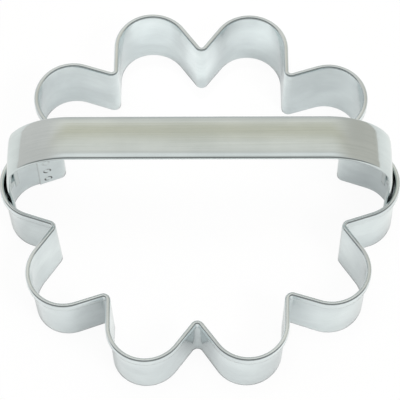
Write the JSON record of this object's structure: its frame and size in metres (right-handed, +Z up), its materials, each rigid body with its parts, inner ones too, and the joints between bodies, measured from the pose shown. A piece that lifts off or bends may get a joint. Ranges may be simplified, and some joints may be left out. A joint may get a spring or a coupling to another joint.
{
  "type": "cookie cutter",
  "caption": "Flower-shaped tinplate cookie cutter: a hemmed strip with a lapped, spot-welded seam, and a strap handle with folded edges arched over the middle.",
  "frame": {"origin": "centre of the flower, in the plane of the cutting edge", "axes": "+X along the handle, +Y towards the back, +Z up from the cutting edge to the handle"},
  "size_m": [0.12, 0.1152, 0.0532],
  "materials": {
    "band_tinplate": "bright tinplate, lightly brushed",
    "strap_tinplate": "bright tinplate, lightly brushed along the strap",
    "weld_steel": "dull grey fused steel"
  },
  "bodies": {
    "root": {"cutting_band": "band_tinplate", "handle_strap": "strap_tinplate", "seam_weld_1": "weld_steel", "seam_weld_2": "weld_steel", "seam_weld_3": "weld_steel", "seam_weld_4": "weld_steel", "left_leg_weld_front": "weld_steel", "left_leg_weld_back": "weld_steel", "right_leg_weld_front": "weld_steel", "right_leg_weld_back": "weld_steel"}
  },
  "joints": []
}
